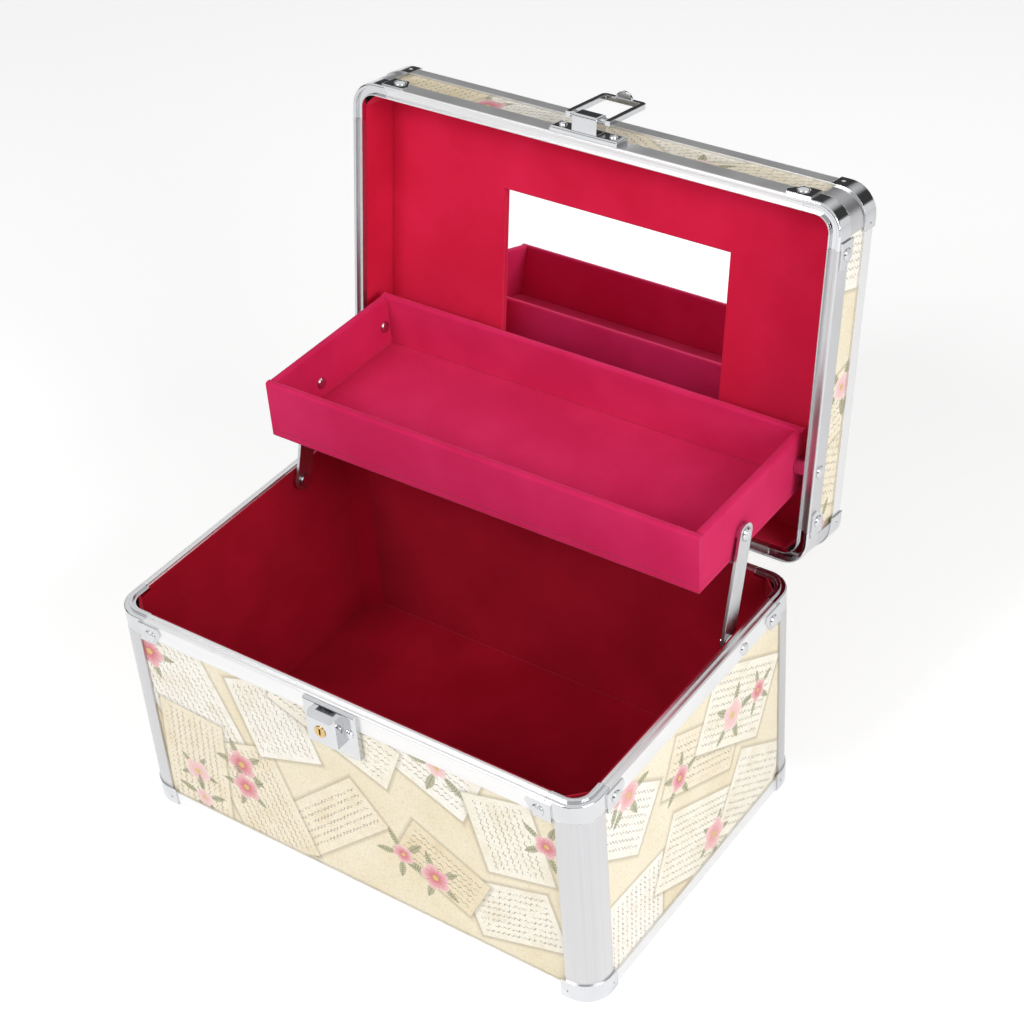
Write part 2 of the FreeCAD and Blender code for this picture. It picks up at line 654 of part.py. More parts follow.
hasp_block = hasp_block.makeFillet(HASP_BLOCK_EDGE_R, block_edges)
wire_hole = rod(Vector(-block_half, pivot_y, pivot_z), hinge_axis, LOOP_PIN_R + PIN_CLEARANCE, HASP_BLOCK_W)
lid["hasp_block"] = [hasp_block.cut(wire_hole)]
lid["hasp_rivets"] = []
for x in (-HASP_RIVET_X, HASP_RIVET_X):
    seat = Vector(x, hasp_face, hasp_low + HASP_PLATE_H / 2)
    lid["hasp_rivets"].append(rivet(seat, Vector(0, -1, 0), HASP_RIVET_R, RIVET_HEAD_H,
                                    SMALL_SHANK_R, WALL_T + HASP_PLATE_T))
    drill(lid, ["hasp_plate", "lid_front_rail", "lid_front_board"],
          rod(seat, Vector(0, 1, 0), SMALL_SHANK_R, WALL_T + HASP_PLATE_T))


def hasp_loop():
    """A pressed frame with a pin at each foot that turns in the block, and a lip on its far bar."""
    inner = LOOP_INNER_W / 2
    outer = inner + LOOP_BAR_W
    thick = (pivot_y - LOOP_BAR_T / 2, pivot_y + LOOP_BAR_T / 2)
    foot = pivot_z - LOOP_BAR_W / 2
    far = pivot_z + LOOP_REACH
    frame = block((-outer, outer), thick, (foot, far))
    corners = [edge for edge in frame.Edges
               if edge.BoundBox.YLength > TOUCH and edge.BoundBox.ZMin > pivot_z]
    frame = frame.makeFillet(LOOP_BEND_R, corners)
    solids = [frame.cut(block((-inner, inner), thick, (foot, far - LOOP_BAR_W)))]
    for sign in (-1, 1):
        pin_start = Vector(sign * (block_half - LOOP_STUB_IN), pivot_y, pivot_z)
        solids.append(rod(pin_start, Vector(sign, 0, 0), LOOP_PIN_R, outer - block_half + LOOP_STUB_IN))
    lip = rod(Vector(0, pivot_y, far - (LOOP_BAR_W + TAB_T) / 2), Vector(0, 0, 1), TAB_R, TAB_T)
    solids.append(lip.common(block((-TAB_R, TAB_R), (pivot_y - TAB_R, pivot_y), (foot, far))))
    return fuse(solids)


# Handle: two riveted brackets on the top board and a grip that folds flat to the back.
lid_top = RIM_LID + LID_HEIGHT
handle_z = lid_top + HANDLE_PIVOT_UP
lid["handle_brackets"] = []
lid["handle_rivets"] = []
grip_half = HANDLE_SPAN / 2
ear_x = grip_half - HANDLE_ARM_W / 2 - HANDLE_SIDE_GAP
for sign in (-1, 1):
    plate_x = sorted((sign * (ear_x - BRACKET_W), sign * ear_x))
    ear_span = sorted((sign * (ear_x - BRACKET_EAR_T), sign * ear_x))
    plate = block(plate_x, (-BRACKET_L / 2, BRACKET_L / 2), (lid_top, lid_top + BRACKET_T))
    upright = block(ear_span, (-BRACKET_EAR_R, BRACKET_EAR_R), (lid_top, handle_z))
    eye = rod(Vector(ear_span[0], 0, handle_z), hinge_axis, BRACKET_EAR_R, BRACKET_EAR_T)
    pin = rod(Vector(ear_span[0], 0, handle_z), hinge_axis, HANDLE_PIN_R + PIN_CLEARANCE, BRACKET_EAR_T)
    bracket = fuse([plate, upright, eye]).cut(pin)
    for y in (-BRACKET_RIVET_Y, BRACKET_RIVET_Y):
        seat = Vector(sum(plate_x) / 2 - sign * BRACKET_EAR_T / 2, y, lid_top + BRACKET_T)
        lid["handle_rivets"].append(rivet(seat, Vector(0, 0, 1), LEAF_RIVET_R, LEAF_RIVET_H,
                                          SMALL_SHANK_R, BRACKET_T + PANEL_T))
        hole = rod(seat, Vector(0, 0, -1), SMALL_SHANK_R, BRACKET_T + PANEL_T)
        bracket = bracket.cut(hole)
        drill(lid, ["lid_top_board"], hole)
    lid["handle_brackets"].append(bracket)


def handle():
    """A moulded grip on two short arms, with a pin at each arm that turns in its bracket."""
    grip_y = (HANDLE_REACH - HANDLE_GRIP_W / 2, HANDLE_REACH + HANDLE_GRIP_W / 2)
    grip_z = (handle_z - HANDLE_GRIP_T / 2, handle_z + HANDLE_GRIP_T / 2)
    grip = block((-grip_half - HANDLE_ARM_W / 2, grip_half + HANDLE_ARM_W / 2), grip_y, grip_z)
    along = [edge for edge in grip.Edges if edge.BoundBox.XLength > HANDLE_SPAN / 2]
    solids = [grip.makeFillet(HANDLE_EDGE_R, along)]
    for sign in (-1, 1):
        x_span = (sign * grip_half - HANDLE_ARM_W / 2, sign * grip_half + HANDLE_ARM_W / 2)
        z_span = (handle_z - HANDLE_ARM_T / 2, handle_z + HANDLE_ARM_T / 2)
        solids.append(block(x_span, (0, HANDLE_REACH), z_span))
        solids.append(rod(Vector(x_span[0], 0, handle_z), hinge_axis, HANDLE_ARM_T / 2, HANDLE_ARM_W))
        pin_start = Vector(sign * (ear_x - BRACKET_EAR_T), 0, handle_z)
        pin_length = BRACKET_EAR_T + HANDLE_SIDE_GAP + HANDLE_ARM_W / 2
        solids.append(rod(pin_start, Vector(sign, 0, 0), HANDLE_PIN_R, pin_length))
    return fuse(solids)


# Tray pivots and arms. Everything here is placed in the open pose, in which the tray is level.
lid_pivot_y = HINGE_Y + TRAY_PIVOT_BACK
lid_pivot_z = HINGE_Z + TRAY_PIVOT_UP
arm_foot_y = HINGE_Y - ARM_FROM_HINGE
arm_foot_z = RIM_BASE - ARM_BELOW_RIM
arm_head_y = lid_pivot_y - (HINGE_Y - arm_foot_y)
arm_head_z = lid_pivot_z - (HINGE_Z - arm_foot_z)
tray_back = lid_pivot_y + TRAY_BEHIND_PIVOT
tray_front = tray_back - TRAY_DEPTH
tray_low = lid_pivot_z - TRAY_BELOW_PIVOT
tray_high = tray_low + TRAY_HEIGHT
lining_x = HALF_W - INNER
arm_in = TRAY_HALF + ARM_WASHER_T + SIDE_CLEARANCE
arm_out = arm_in + ARM_T

open_turn = FreeCAD.Rotation(Vector(1, 0, 0), -LID_OPEN_DEG)
hinge_centre = Vector(0, HINGE_Y, HINGE_Z)
open_place = FreeCAD.Placement(Vector(0, 0, 0), open_turn, hinge_centre)


def opened(shape):
    turned_shape = shape.copy()
    turned_shape.Placement = open_place.multiply(turned_shape.Placement)
    return turned_shape


shut_pivot = open_place.inverse().multVec(Vector(0, lid_pivot_y, lid_pivot_z))


def arm_pivot(sign):
    """A shouldered rivet through the base wall that carries an arm's foot."""
    foot = Vector(0, arm_foot_y, arm_foot_z)
    steps = [
        (TRAY_HALF + ARM_PIVOT_TO_TRAY, ARM_HEAD_R), (arm_in - SIDE_CLEARANCE, ARM_HEAD_R),
        (arm_in - SIDE_CLEARANCE, ARM_PIN_R), (arm_out + SIDE_CLEARANCE, ARM_PIN_R),
        (arm_out + SIDE_CLEARANCE, WASHER_R), (lining_x, WASHER_R), (lining_x, RIVET_SHANK_R),
        (HALF_W, RIVET_SHANK_R),
    ]
    steps += [(HALF_W + along, radius) for along, radius in dome(RIVET_HEAD_R, RIVET_HEAD_H)]
    return turned(steps, foot, Vector(sign, 0, 0))


def arm_rivet(sign):
    """A rivet through the tray's wall that carries an arm's head."""
    inside = TRAY_HALF - TRAY_WALL_T
    steps = [(inside - along, radius) for along, radius in reversed(dome(RIVET_HEAD_R, RIVET_HEAD_H))]
    steps += [
        (inside, RIVET_SHANK_R), (TRAY_HALF, RIVET_SHANK_R), (TRAY_HALF, WASHER_R),
        (arm_in - SIDE_CLEARANCE, WASHER_R), (arm_in - SIDE_CLEARANCE, ARM_PIN_R),
        (arm_out + SIDE_CLEARANCE, ARM_PIN_R), (arm_out + SIDE_CLEARANCE, ARM_HEAD_R),
        (arm_out + SIDE_CLEARANCE + ARM_HEAD_H, ARM_HEAD_R * HEAD_TAPER),
    ]
    return turned(steps, Vector(0, arm_head_y, arm_head_z), Vector(sign, 0, 0))


def tray_pivot(sign):
    """A rivet and spacer on the lid's wall, on which the tray's back end turns."""
    inside = TRAY_HALF - TRAY_WALL_T - SIDE_CLEARANCE
    steps = [(inside - along, radius) for along, radius in reversed(dome(RIVET_HEAD_R, RIVET_HEAD_H))]
    steps += [
        (inside, ARM_PIN_R), (TRAY_HALF + SIDE_CLEARANCE, ARM_PIN_R),
        (TRAY_HALF + SIDE_CLEARANCE, WASHER_R), (lining_x, WASHER_R), (lining_x, RIVET_SHANK_R),
        (HALF_W, RIVET_SHANK_R),
    ]
    steps += [(HALF_W + along, radius) for along, radius in dome(RIVET_HEAD_R, RIVET_HEAD_H)]
    return turned(steps, shut_pivot, Vector(sign, 0, 0))


def arm():
    """A flat strip with round ends and a hole at each end, made at x = 0 and ARM_T thick."""
    rise = Vector(0, arm_head_y - arm_foot_y, arm_head_z - arm_foot_z)
    length = rise.Length
    half = ARM_W / 2
    steps = [(length, -half), ((length + half, 0), (length, half)), (0, half), ((-half, 0), (0, -half))]
    face = outline_face((0, -half), steps, lambda along, across: Vector(0, along, across))
    strip = face.extrude(Vector(ARM_T, 0, 0))
    for along in (0, length):
        strip = strip.cut(rod(Vector(0, along, 0), hinge_axis, ARM_PIN_R + PIN_CLEARANCE, ARM_T))
    lean = math.degrees(math.atan2(rise.z, rise.y))
    strip.rotate(Vector(0, 0, 0), hinge_axis, lean)
    strip.translate(Vector(0, arm_foot_y, arm_foot_z))
    return strip


right_arm = arm()
right_arm.translate(Vector(arm_in, 0, 0))
left_arm = right_arm.mirror(Vector(0, 0, 0), hinge_axis)

foot_hole = rod(Vector(-HALF_W, arm_foot_y, arm_foot_z), hinge_axis, RIVET_SHANK_R, CASE_WIDTH)
drill(base, ["base_left_board", "base_right_board", "base_left_rail", "base_right_rail",
             "base_wall_lining"], foot_hole)
shut_hole = rod(shut_pivot - Vector(HALF_W, 0, 0), hinge_axis, RIVET_SHANK_R, CASE_WIDTH)
drill(lid, ["lid_left_board", "lid_right_board", "lid_left_rail", "lid_right_rail",
            "lid_wall_lining"], shut_hole)
base["arm_pivot_left"] = [arm_pivot(-1)]
base["arm_pivot_right"] = [arm_pivot(1)]
lid["tray_pivots"] = [tray_pivot(-1), tray_pivot(1)]

# Tray: a floor and four walls, level in the open pose.
floor_top = tray_low + TRAY_FLOOR_T
tray_x = (-TRAY_HALF, TRAY_HALF)
inner_y = (tray_front + TRAY_WALL_T, tray_back - TRAY_WALL_T)


def tray_wall(x_span, y_span):
    wall = block(x_span, y_span, (floor_top, tray_high))
    along_x = x_span[1] - x_span[0] > TRAY_WALL_T
    top = [edge for edge in wall.Edges if edge.BoundBox.ZMin > tray_high - TOUCH
           and (edge.BoundBox.XLength if along_x else edge.BoundBox.YLength) > TRAY_WALL_T]
    return wall.makeFillet(TRAY_EDGE_R, top)


head_hole = rod(Vector(-HALF_W, arm_head_y, arm_head_z), hinge_axis, RIVET_SHANK_R, CASE_WIDTH)
back_pivot_hole = rod(Vector(-HALF_W, lid_pivot_y, lid_pivot_z), hinge_axis,
                      ARM_PIN_R + PIN_CLEARANCE, CASE_WIDTH)
tray = {
    "tray_floor": [block(tray_x, (tray_front, tray_back), (tray_low, floor_top))],
    "tray_front_wall": [tray_wall(tray_x, (tray_front, inner_y[0]))],
    "tray_rear_wall": [tray_wall(tray_x, (inner_y[1], tray_back))],
    "tray_left_wall": [tray_wall((tray_x[0], tray_x[0] + TRAY_WALL_T), inner_y)],
    "tray_right_wall": [tray_wall((tray_x[1] - TRAY_WALL_T, tray_x[1]), inner_y)],
    "tray_arm_rivets": [arm_rivet(-1), arm_rivet(1)],
}
drill(tray, ["tray_left_wall", "tray_right_wall"], [head_hole, back_pivot_hole])

moving = {
    "lock_plug": [lock_plug.cut(key_slot)],
    "tray_arm_left": [left_arm],
    "tray_arm_right": [right_arm],
    "hasp_loop": [opened(hasp_loop())],
    "handle_grip": [opened(handle())],
}

os.makedirs("parts", exist_ok=True)
lid = {name: [opened(solid) for solid in solids] for name, solids in lid.items()}
for name, solids in {**base, **lid, **tray, **moving}.items():
    shape = solids[0] if len(solids) == 1 else Part.makeCompound(solids)
    shape.exportStep("parts/" + name + ".step")
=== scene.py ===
import json
import math
import random

import bpy
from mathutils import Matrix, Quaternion, Vector


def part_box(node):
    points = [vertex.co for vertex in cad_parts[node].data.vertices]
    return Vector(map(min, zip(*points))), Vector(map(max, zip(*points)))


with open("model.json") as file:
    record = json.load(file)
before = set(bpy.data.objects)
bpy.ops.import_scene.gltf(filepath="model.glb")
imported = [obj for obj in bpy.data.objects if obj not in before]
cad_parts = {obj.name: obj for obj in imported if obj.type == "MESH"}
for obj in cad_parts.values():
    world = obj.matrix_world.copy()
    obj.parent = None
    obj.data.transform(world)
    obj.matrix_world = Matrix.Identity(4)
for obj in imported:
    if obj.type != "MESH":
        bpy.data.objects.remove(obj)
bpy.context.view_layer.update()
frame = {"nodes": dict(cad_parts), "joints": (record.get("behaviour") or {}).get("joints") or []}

# Wall boards of the base: thin board wrapped in cream leather-cloth with a printed collage of
# plain papers, ruled strokes, blossoms and leaf sprigs. The cloth is glued on before the boards
# are slid into the metal frame, so the print runs under every trim.
INK = (0.16, 0.13, 0.09, 1)
CLOTH_LIGHT = (0.88, 0.81, 0.64, 1)
CLOTH_DARK = (0.80, 0.70, 0.50, 1)
# Painted shade: a darker colour laid into the creases of the pebble grain.
CREASE_SHADE_COLOUR = (0.55, 0.47, 0.33, 1)
PAPERS = [(0.91, 0.87, 0.76, 1), (0.88, 0.80, 0.64, 1), (0.93, 0.90, 0.83, 1), (0.82, 0.72, 0.52, 1)]
PAPER_SHADOW = (0.34, 0.29, 0.22, 1)
PETALS = [(0.66, 0.16, 0.21, 1), (0.78, 0.34, 0.37, 1), (0.84, 0.52, 0.51, 1)]
PETAL_RIM = (0.92, 0.72, 0.70, 1)
BLOSSOM_EYE = (0.70, 0.52, 0.16, 1)
LEAF = (0.27, 0.28, 0.15, 1)
LEAF_VEIN = (0.60, 0.57, 0.40, 1)
MM_PER_METRE = 1000
# A share so small that it moves nothing. Each motif's place waits on the colour under it, so the
# renderer works out one motif at a time.
WAIT = 1e-6


def add(tree, kind, sockets=(), **settings):
    """A node with its settings, and its sockets filled from values or linked from other sockets."""
    node = tree.nodes.new(kind)
    for key, value in settings.items():
        setattr(node, key, value)
    for key, value in dict(sockets).items():
        if isinstance(value, bpy.types.NodeSocket):
            tree.links.new(value, node.inputs[key])
        else:
            node.inputs[key].default_value = value
    return node


def calc(tree, operation, first, second=0.0, third=0.0):
    return add(tree, "ShaderNodeMath", {0: first, 1: second, 2: third}, operation=operation).outputs[0]


def ramp(tree, value, low, high, out_low=0.0, out_high=1.0, smooth=False):
    sockets = {"Value": value, "From Min": low, "From Max": high, "To Min": out_low, "To Max": out_high}
    kind = "SMOOTHSTEP" if smooth else "LINEAR"
    return add(tree, "ShaderNodeMapRange", sockets, interpolation_type=kind).outputs["Result"]


def mottle(tree, place, scale, detail):
    """Cloudy noise, for stains, smudges, broken lines and fine pile."""
    return add(tree, "ShaderNodeTexNoise", {"Vector": place, "Scale": scale, "Detail": detail}).outputs["Fac"]


def blend_colour(tree, share, under, over, kind="MIX"):
    sockets = {0: share, 6: under, 7: over}
    return add(tree, "ShaderNodeMix", sockets, data_type="RGBA", blend_type=kind).outputs[2]


def motif_group(name):
    """A group that takes a colour and a place on the cloth and lays one motif over it."""
    group = bpy.data.node_groups.new(name, "ShaderNodeTree")
    group.interface.new_socket("Under", in_out="INPUT", socket_type="NodeSocketColor")
    group.interface.new_socket("Tint", in_out="INPUT", socket_type="NodeSocketColor")
    for key in ("Across", "Up", "Centre Across", "Centre Up", "Cosine", "Sine", "Width", "Height"):
        group.interface.new_socket(key, in_out="INPUT", socket_type="NodeSocketFloat")
    group.interface.new_socket("Colour", in_out="OUTPUT", socket_type="NodeSocketColor")
    group.interface.new_socket("Next Across", in_out="OUTPUT", socket_type="NodeSocketFloat")
    given = group.nodes.new("NodeGroupInput").outputs
    far = calc(group, "SUBTRACT", given["Across"], given["Centre Across"])
    high = calc(group, "SUBTRACT", given["Up"], given["Centre Up"])
    along = calc(group, "MULTIPLY_ADD", far, given["Cosine"], calc(group, "MULTIPLY", high, given["Sine"]))
    back = calc(group, "MULTIPLY", far, given["Sine"])
    over = calc(group, "SUBTRACT", calc(group, "MULTIPLY", high, given["Cosine"]), back)
    return group, given, along, over


def finish_group(group, given, colour):
    onward = calc(group, "MULTIPLY_ADD", colour, WAIT, given["Across"])
    add(group, "NodeGroupOutput", {"Colour": colour, "Next Across": onward})
    return group


# A printed paper, in mm. A fade is the pair of values between which an edge goes from bare to full.
PAPER_CORNER = 0.8
PAPER_EDGE = 0.12
SHADOW_REACH = 2.4
SHADOW_DEPTH = 0.45
STAIN_SCALE = 0.09
STAIN_FADE = (0.45, 0.8)
STAIN_DEPTH = 0.45
STROKE_WAVE = 2.3
STROKE_SLANT = 0.9
STROKE_RISE = 0.14
STROKE_FADE = (0.11, 0.05)
STROKE_DEPTH = 0.72
ROWS_PER_MM = 0.30
DASH_SCALE = 0.8
DASH_FADE = (0.40, 0.50)
MARGIN_FADE = (-2.6, -3.2)
RULE_FADE = (0.3, 0.1)
RULE_DEPTH = 0.35


def paper_motif():
    """A pale paper with a soft printed shadow, a stain, a ruled edge and broken wavy strokes in rows."""
    group, given, along, over = motif_group("printed_paper")
    half_w = calc(group, "MULTIPLY", given["Width"], 0.5)
    half_h = calc(group, "MULTIPLY", given["Height"], 0.5)
    past_w = calc(group, "SUBTRACT", calc(group, "ABSOLUTE", along), half_w)
    past_h = calc(group, "SUBTRACT", calc(group, "ABSOLUTE", over), half_h)
    past = calc(group, "SMOOTH_MAX", past_w, past_h, PAPER_CORNER)
    shade = ramp(group, past, SHADOW_REACH, 0.0, 0.0, SHADOW_DEPTH, smooth=True)
    under = blend_colour(group, shade, given["Under"], PAPER_SHADOW, "MULTIPLY")
    place = add(group, "ShaderNodeCombineXYZ", {0: along, 1: over, 2: given["Centre Across"]}).outputs[0]
    stain = ramp(group, mottle(group, place, STAIN_SCALE, detail=3.0), *STAIN_FADE, 0.0, STAIN_DEPTH)
    paper = blend_colour(group, stain, given["Tint"], CLOTH_DARK, "MULTIPLY")
    slant = calc(group, "MULTIPLY", over, STROKE_SLANT)
    wave = calc(group, "SINE", calc(group, "MULTIPLY_ADD", along, STROKE_WAVE, slant))
    row = calc(group, "MULTIPLY_ADD", wave, STROKE_RISE, calc(group, "MULTIPLY", over, ROWS_PER_MM))
    line = calc(group, "ABSOLUTE", calc(group, "SUBTRACT", calc(group, "FRACT", row), 0.5))
    dash = ramp(group, mottle(group, place, DASH_SCALE, detail=1.0), *DASH_FADE)
    stroke = calc(group, "MULTIPLY", ramp(group, line, *STROKE_FADE), dash)
    stroke = calc(group, "MULTIPLY", stroke, ramp(group, past, *MARGIN_FADE, 0.0, STROKE_DEPTH))
    rule = ramp(group, calc(group, "ABSOLUTE", past), *RULE_FADE, 0.0, RULE_DEPTH)
    paper = blend_colour(group, calc(group, "MAXIMUM", stroke, rule), paper, INK)
    inside = ramp(group, past, PAPER_EDGE, -PAPER_EDGE)
    return finish_group(group, given, blend_colour(group, inside, under, paper))


# A printed sprig. Its height is the distance from the blossom to the middle of a leaf, and the
# leaf's half length and half width are shares of that. Its width is the blossom's.
PETAL_COUNT = 5
LEAF_HALF_LENGTH = 0.62
LEAF_HALF_WIDTH = 0.2
LEAF_EDGE = 0.14
LEAF_DEPTH = 0.85
VEINS_PER_MM = 2.4
VEIN_FADE = (0.2, 0.75)
RIB_FADE = (0.24, 0.1)
PETAL_REACH = 0.36
PETAL_BULGE = 0.14
PETAL_EDGE = (1.02, 0.96)
PETAL_RIM_FADE = (0.25, 1.0)
PETAL_RIM_DEPTH = 0.85
PETAL_GAP_FADE = (0.30, 0.05)
PETAL_GAP_DEPTH = 0.7
PETAL_RAYS = 35.0
RAY_FADE = (0.2, 1.0)
RAY_DEPTH = 0.35
EYE_FADE = (0.26, 0.18)


def sprig_motif():
    """A flat blossom of five pale-edged petals round a yellow eye, on five pointed leaves with veins."""
    group, given, along, over = motif_group("printed_sprig")
    over_square = calc(group, "MULTIPLY", over, over)
    reach = calc(group, "SQRT", calc(group, "MULTIPLY_ADD", along, along, over_square))
    angle = calc(group, "ARCTAN2", over, along)
    fifth = calc(group, "FRACT", calc(group, "MULTIPLY_ADD", angle, PETAL_COUNT / math.tau, 0.5))
    bent = calc(group, "MULTIPLY", calc(group, "SUBTRACT", fifth, 0.5), math.tau / PETAL_COUNT)
    outward = calc(group, "MULTIPLY", reach, calc(group, "COSINE", bent))
    out = calc(group, "SUBTRACT", outward, given["Height"])
    side = calc(group, "ABSOLUTE", calc(group, "MULTIPLY", reach, calc(group, "SINE", bent)))
    share = calc(group, "DIVIDE", out, calc(group, "MULTIPLY", given["Height"], LEAF_HALF_LENGTH))
    room = calc(group, "SUBTRACT", 1.0, calc(group, "MULTIPLY", share, share))
    half_width = calc(group, "MULTIPLY", given["Height"], LEAF_HALF_WIDTH)
    past = calc(group, "SUBTRACT", side, calc(group, "MULTIPLY", room, half_width))
    vein = calc(group, "ABSOLUTE", calc(group, "SINE", calc(group, "MULTIPLY_ADD", out, VEINS_PER_MM, side)))
    leaf = blend_colour(group, ramp(group, vein, *VEIN_FADE), LEAF_VEIN, LEAF)
    leaf = blend_colour(group, ramp(group, side, *RIB_FADE), leaf, INK)
    inside = ramp(group, past, LEAF_EDGE, -LEAF_EDGE, 0.0, LEAF_DEPTH)
    colour = blend_colour(group, inside, given["Under"], leaf)
    petal = calc(group, "ABSOLUTE", calc(group, "COSINE", calc(group, "MULTIPLY", angle, PETAL_COUNT / 2)))
    edge = calc(group, "MULTIPLY_ADD", petal, PETAL_BULGE, PETAL_REACH)
    share = calc(group, "DIVIDE", reach, calc(group, "MULTIPLY", given["Width"], edge))
    rim = ramp(group, share, *PETAL_RIM_FADE, 0.0, PETAL_RIM_DEPTH)
    bloom = blend_colour(group, rim, given["Tint"], PETAL_RIM)
    gap = ramp(group, petal, *PETAL_GAP_FADE, 0.0, PETAL_GAP_DEPTH)
    bloom = blend_colour(group, gap, bloom, given["Tint"])
    rays = calc(group, "SINE", calc(group, "MULTIPLY", angle, PETAL_RAYS))
    bloom = blend_colour(group, ramp(group, rays, *RAY_FADE, 0.0, RAY_DEPTH), bloom, given["Tint"])
    bloom = blend_colour(group, ramp(group, share, *EYE_FADE), bloom, BLOSSOM_EYE)
    return finish_group(group, given, blend_colour(group, ramp(group, share, *PETAL_EDGE), colour, bloom))


MOTIFS = {"paper": paper_motif(), "sprig": sprig_motif()}
# The collage, in mm and radians: a paper in each cell of a loose grid, and a sprig for each so many
# square millimetres of panel.
PAPER_CELL = (44, 42)
CELL_ROOM = (0.2, 0.8)
PAPER_WIDTHS = (40, 68)
PAPER_HEIGHTS = (26, 46)
PAPER_TURNS = (-1.2, -0.5, 0.3, 0.6, 1.4)
TURN_PLAY = 0.15
SPRIG_AREA = 2300
SPRIG_ACROSS = 0.48
SPRIG_UP = 0.46
BLOSSOM_WIDTHS = (9, 17)
LEAF_DISTANCES = (7, 10)


def print_layout(seed, width, height):
    """Papers first, then sprigs with a blossom each, scattered over the panel in mm."""
    draw = random.Random(seed)
    laid = []
    cells = max(2, round(width / PAPER_CELL[0]))
    rows = max(1, round(height / PAPER_CELL[1]))
    for row in range(rows):
        for cell in range(cells):
            across = width * ((cell + draw.uniform(*CELL_ROOM)) / cells - 0.5)
            up = height * ((row + draw.uniform(*CELL_ROOM)) / rows - 0.5)
            size = (draw.uniform(*PAPER_WIDTHS), draw.uniform(*PAPER_HEIGHTS))
            turn = draw.choice(PAPER_TURNS) + draw.uniform(-TURN_PLAY, TURN_PLAY)
            laid.append(("paper", across, up, turn, size, draw.choice(PAPERS)))
    draw.shuffle(laid)
    for sprig in range(max(2, round(width * height / SPRIG_AREA))):
        across = draw.uniform(-SPRIG_ACROSS, SPRIG_ACROSS) * width
        up = draw.uniform(-SPRIG_UP, SPRIG_UP) * height
        size = (draw.uniform(*BLOSSOM_WIDTHS), draw.uniform(*LEAF_DISTANCES))
        laid.append(("sprig", across, up, draw.uniform(0, math.tau), size, draw.choice(PETALS)))
    return laid


def new_finish(name):
    """A new material, its node tree and its shader."""
    material = bpy.data.materials.new(name)
    material.use_nodes = True
    tree = material.node_tree
    return material, tree, tree.nodes["Principled BSDF"]


RELIEF_DEPTH = 0.0002
BEVEL_SAMPLES = 4


def raise_grain(tree, shader, height, strength, depth=RELIEF_DEPTH, edge=0.0, sunk=False):
    """Fine relief from a height, on edges softened by a radius in metres where one is given."""
    sockets = {"Strength": strength, "Distance": depth, "Height": height}
    if edge:
        sockets["Normal"] = add(tree, "ShaderNodeBevel", {"Radius": edge}, samples=BEVEL_SAMPLES).outputs[0]
    bump = add(tree, "ShaderNodeBump", sockets, invert=sunk)
    tree.links.new(bump.outputs["Normal"], shader.inputs["Normal"])


# The cloth itself: cloudy ageing and a pebbled leather grain with painted shade in its creases, with scales
# per metre.
AGEING_SCALE = 26.0
AGEING_FADE = (0.35, 0.7)
PEBBLE_SCALE = 1150.0
PEBBLE_RELIEF = 0.35
# How far and how strongly the painted shade darkens the grain's creases.
CREASE_SHADE_FADE = (0.35, 0.75)
CREASE_SHADE_DEPTH = 0.22
CLOTH_ROUGH_FADE = (0.1, 0.7)
CLOTH_ROUGH = (0.42, 0.62)
CLOTH_SPECULAR = 0.4


def cloth_material(name, centre, across, up, width, height, seed):
    """Leather-cloth whose print is laid out in millimetres on a flat panel."""
    material, tree, shader = new_finish(name)
    place = add(tree, "ShaderNodeTexCoord").outputs["Object"]
    flat = add(tree, "ShaderNodeVectorMath", {0: place, 1: centre}, operation="SUBTRACT").outputs[0]
    axes = [[MM_PER_METRE * part for part in axis] for axis in (across, up)]
    spots = [add(tree, "ShaderNodeVectorMath", {0: flat, 1: axis}, operation="DOT_PRODUCT").outputs["Value"]
             for axis in axes]
    ageing = ramp(tree, mottle(tree, place, AGEING_SCALE, detail=4.0), *AGEING_FADE)
    colour = blend_colour(tree, ageing, CLOTH_LIGHT, CLOTH_DARK)
    for kind, centre_across, centre_up, turn, size, tint in print_layout(seed, width, height):
        sockets = {"Under": colour, "Tint": tint, "Across": spots[0], "Up": spots[1],
                   "Centre Across": centre_across, "Centre Up": centre_up, "Cosine": math.cos(turn),
                   "Sine": math.sin(turn), "Width": size[0], "Height": size[1]}
        motif = add(tree, "ShaderNodeGroup", sockets, node_tree=MOTIFS[kind])
        colour = motif.outputs["Colour"]
        spots[0] = motif.outputs["Next Across"]
    pebble = add(tree, "ShaderNodeTexVoronoi", {"Vector": place, "Scale": PEBBLE_SCALE}, feature="SMOOTH_F1")
    grain = pebble.outputs["Distance"]
    # Painted shade: the cloth's colour is darkened where the grain dips into its creases.
    crease_shade = ramp(tree, grain, *CREASE_SHADE_FADE, 0.0, CREASE_SHADE_DEPTH)
    tree.links.new(blend_colour(tree, crease_shade, colour, CREASE_SHADE_COLOUR, "MULTIPLY"), shader.inputs["Base Color"])
    tree.links.new(ramp(tree, grain, *CLOTH_ROUGH_FADE, *CLOTH_ROUGH), shader.inputs["Roughness"])
    raise_grain(tree, shader, grain, PEBBLE_RELIEF, sunk=True)
    shader.inputs["Specular IOR Level"].default_value = CLOTH_SPECULAR
    return material


def dress(material, *nodes):
    """Gives CAD nodes one finish all over."""
    for node in nodes:
        mesh = frame["nodes"][node].data
        mesh.materials.clear()
        mesh.materials.append(material)
        for face in mesh.polygons:
            face.material_index = 0


def middle(node):
    """A node's centre and its size along each axis."""
    low, high = (Vector(corner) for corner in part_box(node))
    return (low + high) / 2, high - low


